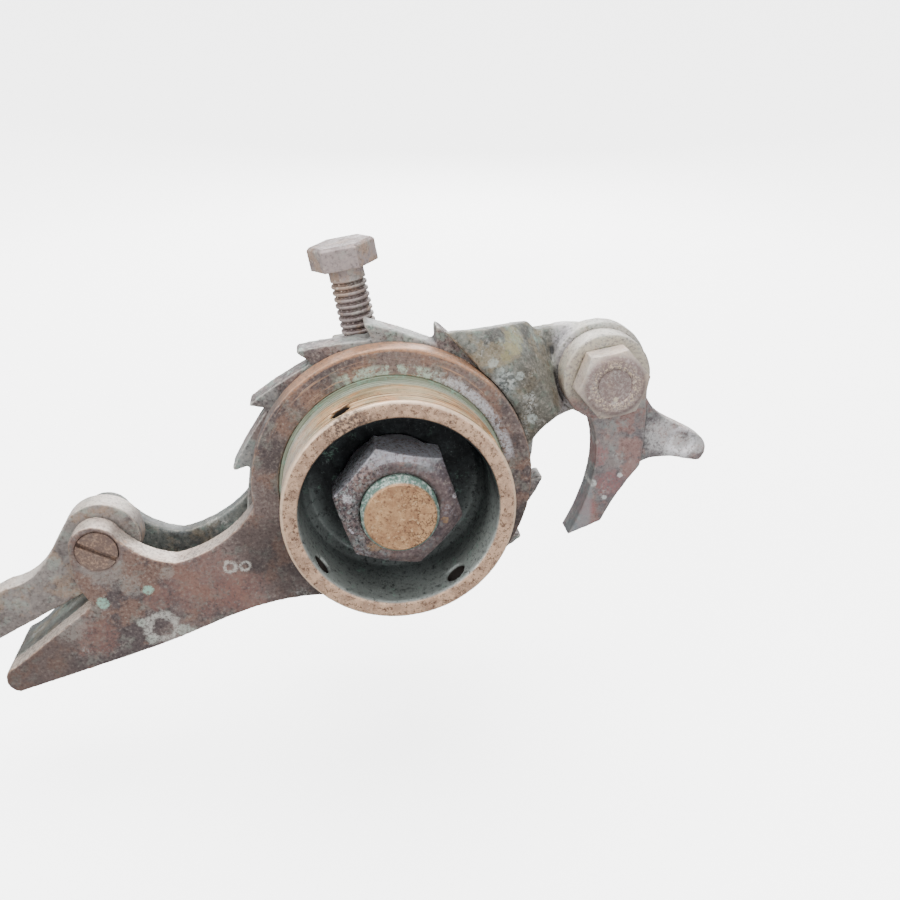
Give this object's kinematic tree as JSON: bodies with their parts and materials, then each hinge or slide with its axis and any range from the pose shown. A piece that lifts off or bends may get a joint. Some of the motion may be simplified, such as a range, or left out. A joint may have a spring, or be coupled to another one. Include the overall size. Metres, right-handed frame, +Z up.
{
  "type": "door closer",
  "caption": "Ratcheted torsion-spring door closer in aged bronze: cup and ratchet wheel on a spindle, forked arm with link, hanging pawl and radial set bolt.",
  "frame": {"origin": "where the spindle axis meets the back face of the mounting plate", "axes": "+Y along the spindle into the door frame, away from the cup; +Z up; +X towards the pawl"},
  "size_m": [0.1821, 0.0638, 0.0974],
  "materials": {
    "cup_bronze": "aged bronze, rubbed golden on the rim and dark green inside",
    "wheel_bronze": "aged bronze, grey-green patina with pale tooth edges",
    "arm_bronze": "aged bronze, red-brown with mineral marks",
    "rear_bronze": "aged bronze, green-grey verdigris",
    "pawl_bronze": "aged bronze, mauve-brown",
    "link_bronze": "aged bronze, pale mauve-grey",
    "nut_bronze": "dark tarnished bronze with silvery worn edges",
    "stud_bronze": "bronze, golden end face with green thread",
    "bolt_bronze": "aged bronze, pinkish grey head and coppery thread",
    "bush_bronze": "plain bearing bronze, pale green tarnish",
    "plate_bronze": "aged cast bronze",
    "spring_steel": "oiled dark spring steel"
  },
  "bodies": {
    "mount": {"mounting_plate": "plate_bronze", "spring_cover": "plate_bronze", "cover_screws": "bolt_bronze", "spindle": "stud_bronze", "spindle_dowel": "spring_steel", "spindle_nut": "nut_bronze", "nut_washer": "nut_bronze"},
    "arm": {"arm_front_cheek": "arm_bronze", "arm_rear_casting": "rear_bronze", "front_bush": "bush_bronze", "rear_bush": "bush_bronze", "pivot_bush": "bush_bronze", "pivot_screw": "arm_bronze", "pawl_bush": "bush_bronze", "pawl_bolt": "bolt_bronze", "cheek_screws": "bolt_bronze"},
    "ratchet": {"ratchet_wheel": "wheel_bronze", "tension_cup": "cup_bronze", "cup_dowels": "spring_steel", "bearing_sleeve": "bush_bronze", "torsion_spring": "spring_steel"},
    "pawl": {"pawl": "pawl_bronze"},
    "link": {"link": "link_bronze", "link_end_bush": "bush_bronze"},
    "set_bolt": {"set_bolt": "bolt_bronze"}
  },
  "joints": [
    {"name": "arm_hinge", "type": "hinge", "parent": "mount", "child": "arm", "pos_m": [0, -0.034, 0], "axis": [0, 1, 0], "range_deg": [0, 100], "stiffness_Nm_per_rad": 0.8, "springref_deg": -34.38},
    {"name": "ratchet_turn", "type": "hinge", "parent": "arm", "child": "ratchet", "pos_m": [0, -0.034, 0], "axis": [0, 1, 0], "range_deg": [0, 180]},
    {"name": "pawl_swing", "type": "hinge", "parent": "arm", "child": "pawl", "pos_m": [0.048, -0.0379, 0.0201], "axis": [0, 1, 0], "range_deg": [-70, 18.5]},
    {"name": "link_swing", "type": "hinge", "parent": "arm", "child": "link", "pos_m": [-0.0635, -0.0379, -0.0119], "axis": [0, 1, 0], "range_deg": [0, 110]},
    {"name": "set_bolt_travel", "type": "slide", "parent": "arm", "child": "set_bolt", "axis": [-0.1822, 0, 0.9833], "range_m": [-0.003, 0.008]}
  ]
}
